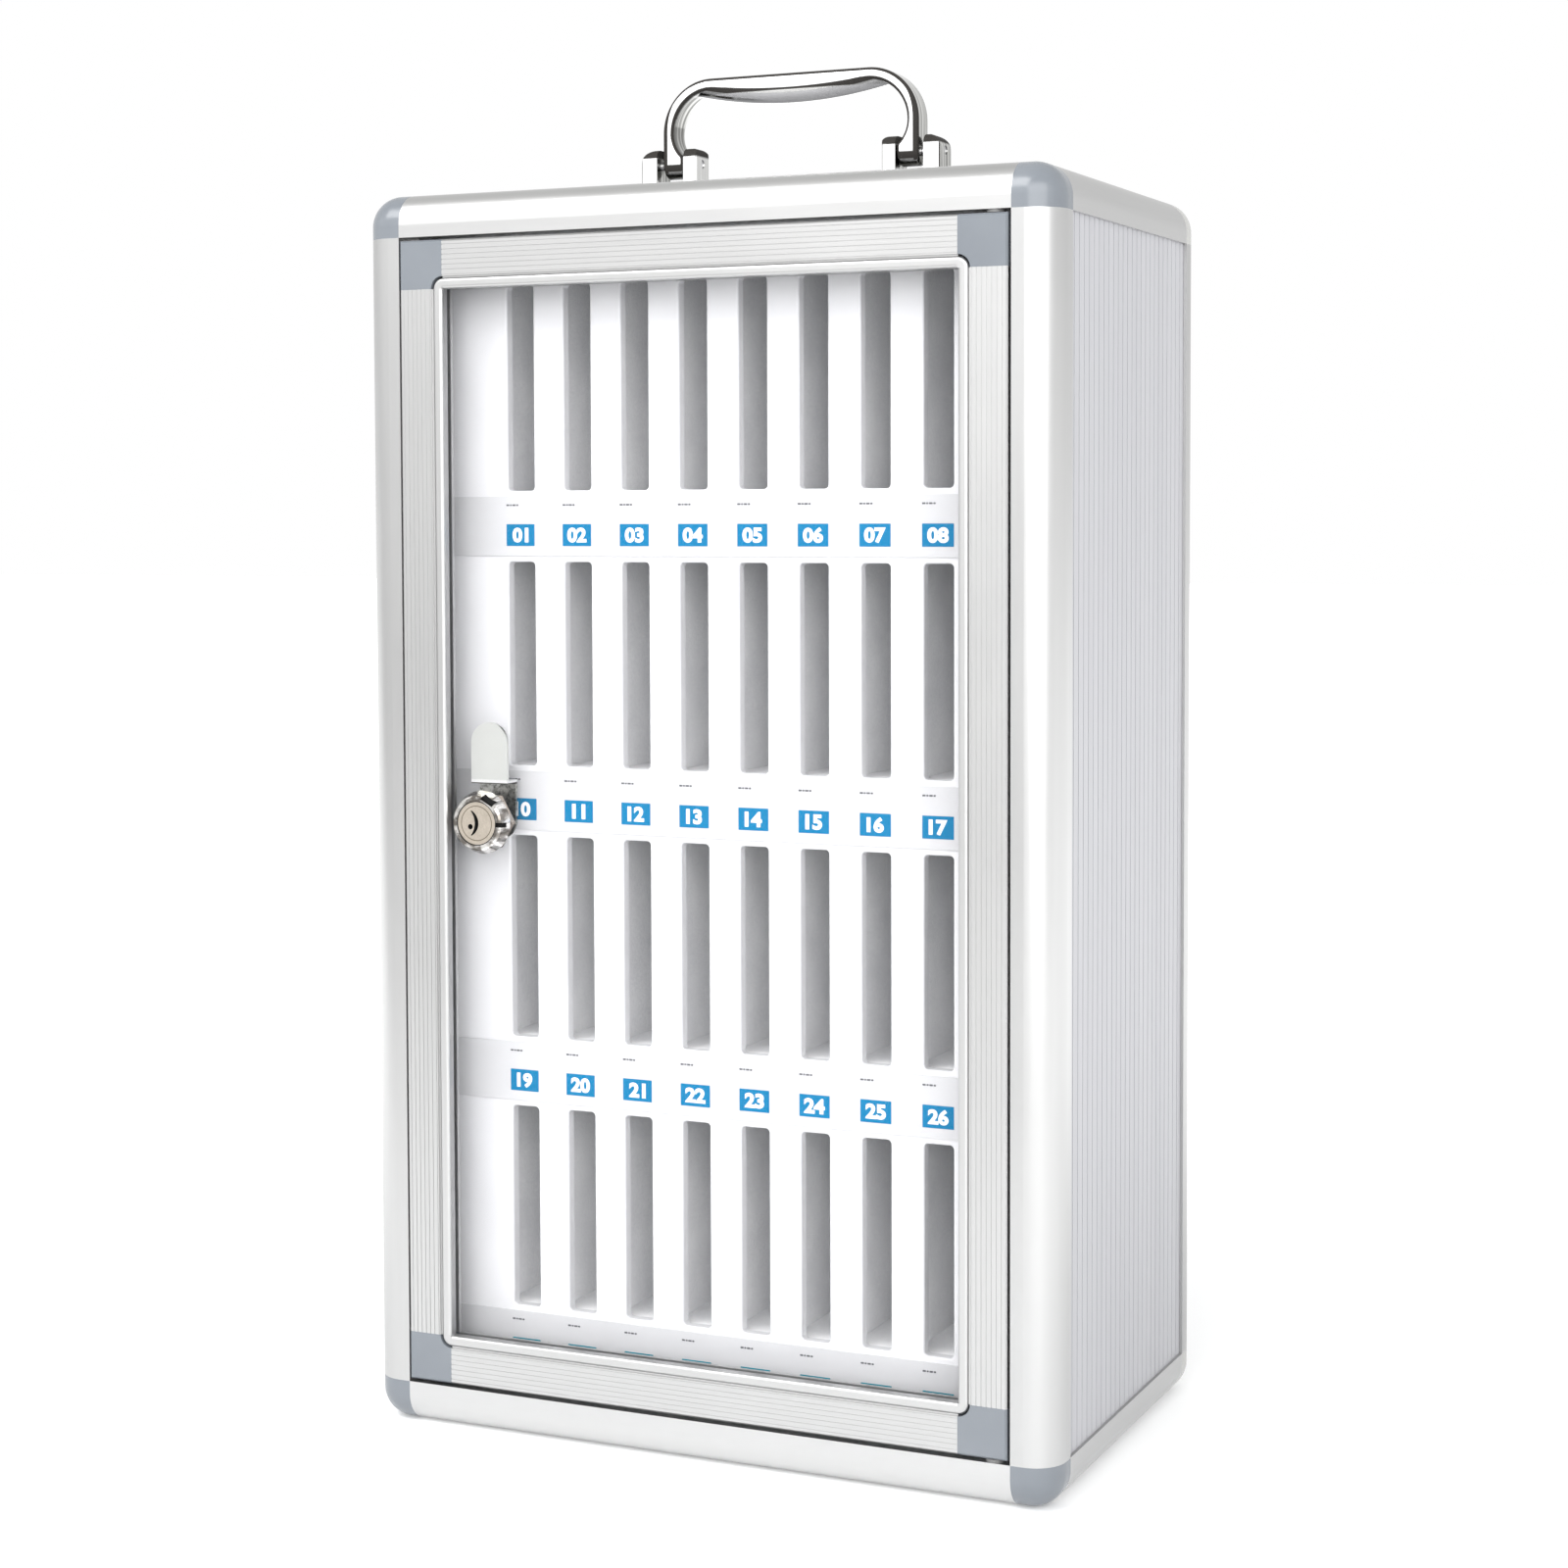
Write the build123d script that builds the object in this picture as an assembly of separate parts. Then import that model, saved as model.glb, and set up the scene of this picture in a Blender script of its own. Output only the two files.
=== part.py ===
from build123d import *
import math
import os

# Wall cabinet with thirty-six upright phone slots behind a glazed, locked door.
# Millimetres, +Z up, +Y to the wall, front at -Y, origin at the middle of the footprint.

# Overall size of the case
case_width = 325.0
case_depth = 200.0
case_height = 550.0

# Edge profiles: a hollow extrusion with one rounded corner and grooves for the panels
profile_size = 19.5
profile_radius = 14.0
profile_wall = 1.3
groove_web = 1.3
corner_stub_length = 18.0
corner_stub_clearance = 0.15

# Panels that slide into the profile grooves
panel_thickness = 3.0
panel_bite = 7.0
panel_clearance = 0.1
panel_end_clearance = 0.3
panel_rib_pitch = 6.5
panel_rib_width = 1.0
panel_rib_depth = 0.25

# Keyholes in the back panel for two wall screws
keyhole_spacing = 220.0
keyhole_below_top = 80.0
keyhole_entry_radius = 5.0
keyhole_neck_width = 5.0
keyhole_neck_rise = 10.0

# Door frame, flush with the front of the case
door_gap = 1.5
door_gap_lock_side = 0.25
door_thickness = 9.0
door_frame_width = 21.5
door_frame_wall = 1.3
door_edge_chamfer = 0.8
door_chamber_width = 12.2
door_tenon_length = 20.0
door_tenon_clearance = 0.1
bead_width = 4.7
bead_round = 1.5
bead_groove_width = 0.8
bead_groove_depth = 0.9
flute_count = 7
flute_first = 2.0
flute_pitch = 2.2
flute_width = 0.4
flute_depth = 0.25

# Acrylic window
window_thickness = 2.5
window_setback = 4.5
window_bite = 5.0
window_clearance = 0.1

# Hinge: a pin in each hinge-side corner of the door turns in a flanged bush
hinge_from_edge = 6.5
hinge_from_front = 4.5
hinge_pin_radius = 2.0
hinge_pin_in_door = 9.0
hinge_pin_in_case = 5.5
bush_bore_clearance = 0.08
bush_sleeve_radius = 2.9
bush_sleeve_length = 6.0
bush_flange_radius = 4.0
bush_flange_thickness = 1.3
bush_fit = 0.05

# Door stop and strike slot in the post on the lock side
stop_reach = 4.5
stop_thickness = 1.1
stop_door_clearance = 0.3
strike_above = 30.0
strike_below = 12.0
strike_clearance = 0.5

# Rack of slots
rack_setback = 24.0
rack_hinge_margin = 13.0
rack_lock_margin = 40.0
column_pitch = 28.35
row_pitch = 122.0
slot_width = 13.2
slot_height = 90.4
slot_corner_radius = 1.8
slot_edge_round = 1.0
lowest_slot_bottom = 53.1
fascia_thickness = 5.0
fascia_side_clearance = 0.2
fascia_end_clearance = 0.2
fascia_pad_overlap = 2.0
shelf_thickness = 3.0
shelf_drop = 0.5
divider_thickness = 1.5
rack_side_clearance = 0.2
label_strip_height = 26.3
label_strip_thickness = 0.6
label_strip_drop = 2.6

# Cam lock through the acrylic
lock_from_side = 57.0
lock_height = 273.0
lock_head_projection = 5.5
lock_head_base_radius = 14.0
lock_head_front_radius = 12.2
lock_head_bevel = 0.8
lock_mark_depth = 1.2
lock_mark_ring = 11.5
lock_marks = ((61.0, 6.6, 2.2), (-2.0, 2.0, 3.4))
lock_barrel_radius = 9.0
lock_barrel_fit = 0.1
lock_barrel_behind = 9.6
lock_nut_across_flats = 23.0
lock_nut_thickness = 3.4
lock_nut_fit = 0.05
plug_face_radius = 9.4
plug_face_thickness = 1.8
plug_face_recess = 0.2
plug_shaft_radius = 6.0
plug_running_fit = 0.08
keyway_half_height = 5.6
keyway_outer_bulge = 3.6
keyway_inner_bulge = 1.7
keyway_tip = 0.3
keyway_offset = 2.6
keyway_depth = 6.0
keyway_dot_radius = 1.2
keyway_dot_offset = 3.1
keyway_dot_drop = 1.6
cam_thickness = 1.5
cam_width = 18.2
cam_reach = 43.7
cam_crank = 5.9
cam_crank_at = 16.5
cam_behind_stop = 0.3
cam_hole_fit = 0.05
cam_screw_radius = 2.0
cam_screw_depth = 6.0
cam_screw_head_radius = 4.0
cam_screw_head_height = 1.5
cam_screw_cross_length = 4.4
cam_screw_cross_width = 1.0

# Folding carrying handle on the top panel, a little behind its middle
handle_setback = 7.0
handle_half_span = 63.1
handle_strap = 5.4
handle_depth = 13.0
handle_top = 57.2
handle_corner_radius = 24.0
handle_sag = 2.4
handle_pivot_height = 19.2
handle_foot_width = 10.4
handle_flare_radius = 13.8
handle_flare_blend = 3.0
handle_edge_round = 1.6
grip_drop = 5.0
grip_curve_radius = 205.0
grip_half_length = 47.0
grip_side_step = 0.2
grip_collar = 1.0
handle_pin_radius = 2.0
handle_pin_fit = 0.1
handle_pin_recess = 0.5

# Cast bracket: a tall lug on each side of the foot
bracket_inner_lug = 6.6
bracket_outer_lug = 8.0
bracket_slot_width = 13.5
bracket_foot_gap = 0.3
bracket_depth = 14.0
bracket_top = 26.2
bracket_web = 3.0
bracket_crown_round = 4.2
bracket_shoulder_round = 7.0
bracket_inner_round = 3.0
bracket_edge_bevel = 0.8

# Screws from inside the case into the lugs
handle_screw_radius = 1.6
handle_screw_hole_fit = 0.05
handle_screw_in_lug = 9.0
handle_screw_head_radius = 2.9
handle_screw_head_height = 2.0
handle_screw_head_round = 1.2

# Two places closer than this are the same place
same_place = 1e-6

# Derived places that several pieces share
half_width = case_width / 2
half_depth = case_depth / 2
front = -half_depth
groove_width = panel_thickness + 2 * panel_clearance
channel_reach = profile_wall + groove_width + groove_web
panel_edge = profile_size - panel_bite
panel_inner = profile_wall + panel_clearance + panel_thickness

door_left = -half_width + profile_size + door_gap_lock_side
door_right = half_width - profile_size - door_gap
door_bottom = profile_size + door_gap
door_top = case_height - profile_size - door_gap
window_groove_front = window_setback - window_clearance
window_groove_back = window_setback + window_thickness + window_clearance
window_groove_depth = window_bite + 1.0
hinge_x = door_right - hinge_from_edge
hinge_y = front + hinge_from_front

stop_front = door_thickness + stop_door_clearance
stop_back = stop_front + stop_thickness
cam_tip_front = stop_back + cam_behind_stop
cam_root_front = cam_tip_front + cam_crank + cam_thickness
lock_x = -half_width + lock_from_side
keyhole_height = case_height - keyhole_below_top
plug_front = window_setback - lock_head_projection + plug_face_recess

rack_front = front + rack_setback
fascia_back = rack_front + fascia_thickness
divider_back = half_depth - profile_size - rack_side_clearance
rack_half_width = half_width - panel_inner - fascia_side_clearance
rack_top = case_height - profile_size - fascia_end_clearance
rack_bottom = profile_size + fascia_end_clearance
rack_right = half_width - panel_inner - rack_hinge_margin
rack_left_limit = -half_width + panel_inner + rack_lock_margin
column_count = int((rack_right - rack_left_limit) / column_pitch)
row_count = int((rack_top - lowest_slot_bottom - slot_height) / row_pitch) + 1

handle_pivot_z = case_height + handle_pivot_height
handle_shoulder = case_height + handle_top - handle_corner_radius
handle_leg_in = handle_half_span - handle_strap
handle_foot_in = handle_half_span - handle_foot_width
bracket_slot_in = handle_foot_in - bracket_foot_gap
bracket_slot_out = bracket_slot_in + bracket_slot_width
bracket_in = bracket_slot_in - bracket_inner_lug
bracket_out = bracket_slot_out + bracket_outer_lug
top_panel_surface = case_height - profile_wall - panel_clearance

X_IN = {"left": Vector(1, 0, 0), "right": Vector(-1, 0, 0)}
Y_IN = {"front": Vector(0, 1, 0), "rear": Vector(0, -1, 0)}
Z_IN = {"bottom": Vector(0, 0, 1), "top": Vector(0, 0, -1)}
X_SIGN = {"left": -1, "right": 1}
X_EDGE = {"left": -half_width, "right": half_width}
DOOR_EDGE = {"left": door_left, "right": door_right}
Y_EDGE = {"front": -half_depth, "rear": half_depth}
Z_EDGE = {"bottom": 0.0, "top": case_height}


def block(x0, x1, y0, y1, z0, z1):
    """A box between two opposite corners."""
    size = Box(abs(x1 - x0), abs(y1 - y0), abs(z1 - z0))
    return Pos((x0 + x1) / 2, (y0 + y1) / 2, (z0 + z1) / 2) * size


def patch(u0, u1, v0, v1):
    """A rectangle of a section, between two opposite corners."""
    return Pos((u0 + u1) / 2, (v0 + v1) / 2) * Rectangle(abs(u1 - u0), abs(v1 - v0))


def rod(radius, start, direction, length):
    """A cylinder from a start point along a direction."""
    base = Plane(origin=start, z_dir=direction)
    return extrude(base * Circle(radius), length)


def along(section, corner, u_in, v_in, start, end):
    """Extrude a section whose corner runs along an edge, u and v pointing inwards."""
    run = u_in.cross(v_in)
    step = Vector(abs(run.X), abs(run.Y), abs(run.Z))
    forward = run.X + run.Y + run.Z > 0
    origin = corner + step * (start if forward else end)
    return extrude(Plane(origin=origin, x_dir=u_in, z_dir=run) * section, end - start)


def profile_section(groove_u, groove_v, door_stop=False):
    """Rounded hollow edge profile; each groove holds the panel that meets that face."""
    size = profile_size
    outer = patch(0, size, 0, size)
    outer = fillet(outer.vertices().sort_by(lambda p: p.X + p.Y)[0], profile_radius)
    inner = patch(profile_wall, size - profile_wall, profile_wall, size - profile_wall)
    inner = fillet(
        inner.vertices().sort_by(lambda p: p.X + p.Y)[0], profile_radius - profile_wall
    )
    section = outer - inner
    groove_start = panel_edge - panel_end_clearance
    channel_start = groove_start - groove_web
    if groove_u:
        section += outer & patch(0, channel_reach, channel_start, size)
        section -= patch(profile_wall, profile_wall + groove_width, groove_start, size)
    if groove_v:
        section += outer & patch(channel_start, size, 0, channel_reach)
        section -= patch(groove_start, size, profile_wall, profile_wall + groove_width)
    if door_stop:
        section += patch(size - profile_wall, size + stop_reach, stop_front, stop_back)
    return section


def corner_block(x_side, y_side, z_side):
    """Rounded plastic corner with a stub for each of the three profiles it joins."""
    size = profile_size
    cube = block(0, size, 0, size, 0, size)
    rounded = [
        edge
        for edge in cube.edges()
        if sum(abs(value) < same_place for value in tuple(edge.center())) == 2
    ]
    cube = fillet(rounded, profile_radius)
    low = channel_reach + corner_stub_clearance
    high = size - profile_wall - corner_stub_clearance
    end = size + corner_stub_length
    stubs = block(low, end, low, high, low, high)
    stubs += block(low, high, low, end, low, high)
    stubs += block(low, high, low, high, low, end)
    solid = cube + stubs
    if x_side == "right":
        solid = mirror(solid, Plane.YZ)
    if y_side == "rear":
        solid = mirror(solid, Plane.XZ)
    if z_side == "top":
        solid = mirror(solid, Plane.XY)
    solid = Pos(X_EDGE[x_side], Y_EDGE[y_side], Z_EDGE[z_side]) * solid
    if x_side == "right" and y_side == "front":
        solid -= bush_hole(z_side)
    return solid


def bush_hole(z_side):
    """Hole for the hinge bush in the profile wall and in the corner stub behind it."""
    z_in = Z_IN[z_side]
    start = Vector(hinge_x, hinge_y, Z_EDGE[z_side]) + z_in * profile_size
    return rod(bush_sleeve_radius + bush_fit, start, z_in * -1, bush_sleeve_length + bush_fit)


def strike_slot():
    """Slot in the inner wall of the lock-side post that the cam swings into."""
    wall = -half_width + profile_size
    return block(
        wall - 2 * profile_wall,
        wall,
        front + cam_tip_front - strike_clearance / 2,
        front + cam_tip_front + cam_thickness + strike_clearance,
        lock_height - strike_below,
        lock_height + strike_above,
    )


def make_profiles():
    """Four posts and eight rails."""
    solids = {}
    size = profile_size
    for x_side in ("left", "right"):
        for y_side in ("front", "rear"):
            holds_cam = x_side == "left" and y_side == "front"
            section = profile_section(True, y_side == "rear", door_stop=holds_cam)
            corner = Vector(X_EDGE[x_side], Y_EDGE[y_side], 0)
            post = along(
                section, corner, X_IN[x_side], Y_IN[y_side], size, case_height - size
            )
            if holds_cam:
                post -= strike_slot()
            solids[f"post_{y_side}_{x_side}"] = post
    for z_side in ("bottom", "top"):
        for y_side in ("front", "rear"):
            section = profile_section(y_side == "rear", True)
            corner = Vector(0, Y_EDGE[y_side], Z_EDGE[z_side])
            reach = half_width - size
            rail = along(section, corner, Y_IN[y_side], Z_IN[z_side], -reach, reach)
            if y_side == "front":
                rail -= bush_hole(z_side)
            solids[f"rail_{z_side}_{y_side}"] = rail
        for x_side in ("left", "right"):
            section = profile_section(True, True)
            corner = Vector(X_EDGE[x_side], 0, Z_EDGE[z_side])
            reach = half_depth - size
            rail = along(section, corner, X_IN[x_side], Z_IN[z_side], -reach, reach)
            solids[f"rail_{z_side}_{x_side}"] = rail
    return solids


def ribbed_panel(across, up):
    """Flat panel, outer face at z = 0 and ribs along y, with its four corners cut away."""
    width = across - 2 * panel_edge
    height = up - 2 * panel_edge
    sheet = block(-width / 2, width / 2, -height / 2, height / 2, -panel_thickness, 0)
    cut = panel_bite + panel_end_clearance
    for sx in (-1, 1):
        for sy in (-1, 1):
            x, y = sx * width / 2, sy * height / 2
            sheet -= block(x, x - sx * cut, y, y - sy * cut, -panel_thickness, 0)
    visible = across - 2 * profile_size
    count = int(visible / panel_rib_pitch)
    for index in range(count):
        x = (index - (count - 1) / 2) * panel_rib_pitch
        half = panel_rib_width / 2
        reach = up / 2 - profile_size
        sheet -= block(x - half, x + half, -reach, reach, -panel_rib_depth, 0)
    return sheet


def keyhole(x):
    """Round entry with a narrower neck above it, through the back panel."""
    y0 = half_depth - panel_inner
    y1 = half_depth
    entry = rod(keyhole_entry_radius, (x, y0, keyhole_height), (0, 1, 0), y1 - y0)
    half = keyhole_neck_width / 2
    rise = keyhole_height + keyhole_neck_rise
    neck = block(x - half, x + half, y0, y1, keyhole_height, rise)
    return entry + neck + rod(half, (x, y0, rise), (0, 1, 0), y1 - y0)


def handle_screw_places():
    """Sideways places of the four screws that hold the handle's lugs."""
    inner = bracket_in + bracket_inner_lug / 2
    outer = bracket_out - bracket_outer_lug / 2
    return [sx * x for sx in (-1, 1) for x in (inner, outer)]


def make_panels():
    """Two sides, top, bottom and back."""
    inset = profile_wall + panel_clearance
    middle = case_height / 2
    side = ribbed_panel(case_depth, case_height)
    lid = ribbed_panel(case_width, case_depth)
    back = ribbed_panel(case_width, case_height)
    solids = {
        "panel_left": Plane(
            origin=(-half_width + inset, 0, middle), x_dir=(0, -1, 0), z_dir=(-1, 0, 0)
        ) * side,
        "panel_right": Plane(
            origin=(half_width - inset, 0, middle), x_dir=(0, 1, 0), z_dir=(1, 0, 0)
        ) * side,
        "panel_top": Plane(
            origin=(0, 0, case_height - inset), x_dir=(1, 0, 0), z_dir=(0, 0, 1)
        ) * lid,
        "panel_bottom": Plane(origin=(0, 0, inset), x_dir=(1, 0, 0), z_dir=(0, 0, -1)) * lid,
        "panel_back": Plane(
            origin=(0, half_depth - inset, middle), x_dir=(-1, 0, 0), z_dir=(0, 1, 0)
        ) * back,
    }
    for sx in (-1, 1):
        solids["panel_back"] -= keyhole(sx * keyhole_spacing / 2)
    for x in handle_screw_places():
        solids["panel_top"] -= rod(
            handle_screw_radius + handle_screw_hole_fit,
            (x, handle_setback, case_height - panel_inner),
            (0, 0, 1),
            panel_inner,
        )
    return solids


def slot_centre(column):
    """Sideways place of a slot, columns counted from the left."""
    return rack_right - (column_count - column - 0.5) * column_pitch


def slot_bottom(row):
    """Lower edge of a row of slots, rows counted from the lowest."""
    return lowest_slot_bottom + row * row_pitch


def strip_top(row):
    """Upper edge of the label strip under a row of slots."""
    return slot_bottom(row) - label_strip_drop


def fascia(row):
    """Front board of one row: rounded slots and a pad at each end against the posts."""
    low = rack_bottom if row == 0 else strip_top(row) - label_strip_height
    high = rack_top if row == row_count - 1 else strip_top(row + 1) - label_strip_height
    board = block(-rack_half_width, rack_half_width, rack_front, fascia_back, low, high)
    middle = slot_bottom(row) + slot_height / 2
    outline = RectangleRounded(slot_width, slot_height, slot_corner_radius)
    for column in range(column_count):
        place = Plane(
            origin=(slot_centre(column), fascia_back, middle),
            x_dir=(1, 0, 0),
            z_dir=(0, -1, 0),
        )
        board -= extrude(place * outline, fascia_thickness)
    mouths = [
        edge
        for edge in board.edges()
        if abs(edge.center().Y - rack_front) < same_place
        and abs(edge.center().X) < rack_half_width - 1
        and low + 1 < edge.center().Z < high - 1
    ]
    board = fillet(mouths, slot_edge_round)
    for sx in (-1, 1):
        post_edge = sx * (half_width - profile_size + fascia_pad_overlap)
        board += block(
            post_edge, sx * rack_half_width, front + profile_size, rack_front, low, high
        )
    return board


def shelf(top):
    """Board across the case that the phones stand on, cut round the rear posts."""
    y0 = fascia_back
    y1 = half_depth - panel_inner - rack_side_clearance
    post = half_depth - profile_size - rack_side_clearance
    narrow = half_width - profile_size - rack_side_clearance
    wide = half_width - panel_inner
    board = block(-wide, wide, y0, post, top - shelf_thickness, top)
    return board + block(-narrow, narrow, post, y1, top - shelf_thickness, top)


def shelf_top(row):
    """Top face of the shelf under a row; one more row gives the cover of the rack."""
    if row == row_count:
        return rack_top
    return slot_bottom(row) - shelf_drop


def dividers(row):
    """Thin upright sheets beside the slots, between one shelf and the next."""
    low = shelf_top(row)
    high = shelf_top(row + 1) - shelf_thickness
    sheets = []
    for index in range(column_count + 1):
        x = slot_centre(index) - column_pitch / 2
        half = divider_thickness / 2
        sheets.append(block(x - half, x + half, fascia_back, divider_back, low, high))
    return Compound(children=sheets)


def label_strip(row):
    """Flat strip stuck on the front boards under a row of slots."""
    reach = half_width - profile_size
    top = strip_top(row)
    return block(
        -reach,
        reach,
        rack_front - label_strip_thickness,
        rack_front,
        top - label_strip_height,
        top,
    )


def make_rack():
    """Front boards, dividers, shelves and label strips, rows numbered from the top."""
    solids = {}
    for row in range(row_count):
        number = row_count - row
        solids[f"slot_board_{number}"] = fascia(row)
        solids[f"dividers_{number}"] = dividers(row)
        solids[f"label_strip_{number}"] = label_strip(row)
    solids["shelves"] = Compound(
        children=[shelf(shelf_top(row)) for row in range(row_count + 1)]
    )
    return solids


def frame_section():
    """Door frame section: flutes, a groove, the bead round the window and its groove."""
    width = door_frame_width
    bead_start = width - bead_width
    land = patch(0, bead_start - bead_groove_width, 0, door_thickness)
    outer_corner = land.vertices().sort_by(lambda p: p.X + p.Y)[0]
    land = chamfer(outer_corner, door_edge_chamfer)
    for index in range(flute_count):
        u = flute_first + index * flute_pitch
        land -= patch(u, u + flute_width, 0, flute_depth)
    bead = patch(bead_start, width, 0, window_groove_front)
    bead = fillet(bead.vertices().sort_by(Axis.Y)[:2], bead_round)
    neck = patch(bead_start - bead_groove_width, width, bead_groove_depth, door_thickness)
    neck -= patch(bead_start, width, 0, window_groove_front)
    section = land + neck + bead
    chamber_back = door_thickness - door_frame_wall
    section -= patch(
        door_frame_wall, door_frame_wall + door_chamber_width, door_frame_wall, chamber_back
    )
    section -= patch(
        width - window_groove_depth, width, window_groove_front, window_groove_back
    )
    return section


def bead_end(x_side, z_side):
    """Quarter-round end that carries the bead round a corner of the window."""
    window_x = DOOR_EDGE[x_side] + X_IN[x_side].X * door_frame_width
    window_z = window_edge(z_side)
    disc = rod(bead_width, (window_x, front, window_z), (0, 1, 0), window_groove_front)
    rim = disc.edges().filter_by(GeomType.CIRCLE).sort_by(Axis.Y)[0]
    disc = fillet(rim, bead_round)
    z_out = -Z_IN[z_side].Z
    quarter = block(
        window_x,
        window_x + X_SIGN[x_side] * bead_width,
        front,
        front + window_groove_front,
        window_z,
        window_z + z_out * bead_width,
    )
    return disc & quarter


def window_edge(z_side):
    """Height of the window's lower or upper edge."""
    if z_side == "bottom":
        return door_bottom + door_frame_width
    return door_top - door_frame_width


def door_corner(x_side, z_side):
    """Plastic corner of the door frame, with tenons, a bead notch and a window slot."""
    width = door_frame_width
    body = block(0, width, 0, door_thickness, 0, width)
    front_edges = [
        edge
        for edge in body.edges()
        if abs(edge.center().Y) < same_place
        and min(edge.center().X, edge.center().Z) < same_place
    ]
    body = chamfer(front_edges, door_edge_chamfer)
    body -= rod(
        bead_width + bead_groove_width, (width, 0, width), (0, 1, 0), window_groove_front
    )
    slot = width - window_groove_depth
    body -= block(slot, width, window_groove_front, window_groove_back, slot, width)
    low = door_frame_wall + door_tenon_clearance
    high_u = door_frame_wall + door_chamber_width - door_tenon_clearance
    high_v = door_thickness - door_frame_wall - door_tenon_clearance
    body += block(low, high_u, low, high_v, width, width + door_tenon_length)
    body += block(width, width + door_tenon_length, low, high_v, low, high_u)
    if x_side == "right":
        body = mirror(body, Plane.YZ)
    if z_side == "top":
        body = mirror(body, Plane.XY)
    edge_z = door_top if z_side == "top" else door_bottom
    body = Pos(DOOR_EDGE[x_side], front, edge_z) * body
    if x_side == "right":
        start = Vector(hinge_x, hinge_y, edge_z)
        body -= rod(hinge_pin_radius, start, Z_IN[z_side], hinge_pin_in_door)
    return body


def hinge_pin(z_side):
    """Plain pin, pressed in the door corner and free in the bush."""
    edge_z = door_top if z_side == "top" else door_bottom
    z_in = Z_IN[z_side]
    start = Vector(hinge_x, hinge_y, edge_z) + z_in * hinge_pin_in_door
    length = hinge_pin_in_door + door_gap + hinge_pin_in_case
    return rod(hinge_pin_radius, start, z_in * -1, length)


def hinge_bush(z_side):
    """Flanged bush in the rail; its flange lies in the gap beside the door."""
    z_in = Z_IN[z_side]
    seat = Vector(hinge_x, hinge_y, Z_EDGE[z_side]) + z_in * profile_size
    bush = rod(bush_flange_radius, seat, z_in, bush_flange_thickness)
    bush += rod(bush_sleeve_radius, seat, z_in * -1, bush_sleeve_length)
    bore_start = seat + z_in * bush_flange_thickness
    bore_length = bush_flange_thickness + bush_sleeve_length
    return bush - rod(
        hinge_pin_radius + bush_bore_clearance, bore_start, z_in * -1, bore_length
    )


def make_door():
    """Frame members, corners, window and hinge hardware."""
    solids = {}
    section = frame_section()
    width = door_frame_width
    y_in = Vector(0, 1, 0)
    for x_side, name in (("left", "door_stile_lock"), ("right", "door_stile_hinge")):
        corner = Vector(DOOR_EDGE[x_side], front, 0)
        solids[name] = along(
            section, corner, X_IN[x_side], y_in, door_bottom + width, door_top - width
        )
    for z_side in ("bottom", "top"):
        edge_z = door_top if z_side == "top" else door_bottom
        corner = Vector(0, front, edge_z)
        lying = mirror(section, Plane(origin=(0, 0, 0), z_dir=(1, -1, 0)))
        rail = along(
            lying, corner, y_in, Z_IN[z_side], door_left + width, door_right - width
        )
        for x_side in ("left", "right"):
            rail += bead_end(x_side, z_side)
        solids[f"door_rail_{z_side}"] = rail
        for x_side in ("left", "right"):
            solids[f"door_corner_{z_side}_{x_side}"] = door_corner(x_side, z_side)
    pane = block(
        door_left + width - window_bite,
        door_right - width + window_bite,
        front + window_setback,
        front + window_setback + window_thickness,
        window_edge("bottom") - window_bite,
        window_edge("top") + window_bite,
    )
    lock_hole = rod(
        lock_barrel_radius + lock_barrel_fit,
        (lock_x, front + window_setback, lock_height),
        (0, 1, 0),
        window_thickness,
    )
    solids["door_window"] = pane - lock_hole
    solids["hinge_pins"] = Compound(children=[hinge_pin(side) for side in Z_IN])
    solids["hinge_bushes"] = Compound(children=[hinge_bush(side) for side in Z_IN])
    return solids


def lock_housing():
    """Bevelled head and round barrel, bored for the plug."""
    window_front = front + window_setback
    head_front = window_front - lock_head_projection
    barrel_end = window_front + window_thickness + lock_barrel_behind
    outline = Polyline(
        (0, head_front),
        (lock_head_front_radius - lock_head_bevel, head_front),
        (lock_head_front_radius, head_front + lock_head_bevel),
        (lock_head_base_radius, window_front),
        (lock_barrel_radius, window_front),
        (lock_barrel_radius, barrel_end),
        (0, barrel_end),
        close=True,
    )
    body = revolve(make_face(outline), Axis.Y)
    body = Pos(lock_x, 0, lock_height) * body
    y_dir = (0, 1, 0)
    face_bore = plug_face_recess + plug_face_thickness + plug_running_fit
    body -= rod(
        plug_face_radius + plug_running_fit, (lock_x, head_front, lock_height), y_dir, face_bore
    )
    body -= rod(
        plug_shaft_radius + plug_running_fit,
        (lock_x, head_front, lock_height),
        y_dir,
        barrel_end - head_front,
    )
    for angle, length, width in lock_marks:
        mark = Box(width, 2 * lock_mark_depth, length)
        place = Pos(lock_x, head_front, lock_height) * Rot(0, -angle, 0)
        body -= place * Pos(lock_mark_ring, 0, 0) * mark
    return body


def keyway():
    """Crescent for the key, between two arcs that bulge to the right."""
    high = keyway_half_height
    low = keyway_half_height - keyway_tip
    crescent = [
        ThreePointArc((0, -high), (keyway_outer_bulge, 0), (0, high)),
        Line((0, high), (-keyway_tip, low)),
        ThreePointArc((-keyway_tip, low), (keyway_inner_bulge, 0), (-keyway_tip, -low)),
        Line((-keyway_tip, -low), (0, -high)),
    ]
    return make_face(Curve() + crescent)


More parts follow.
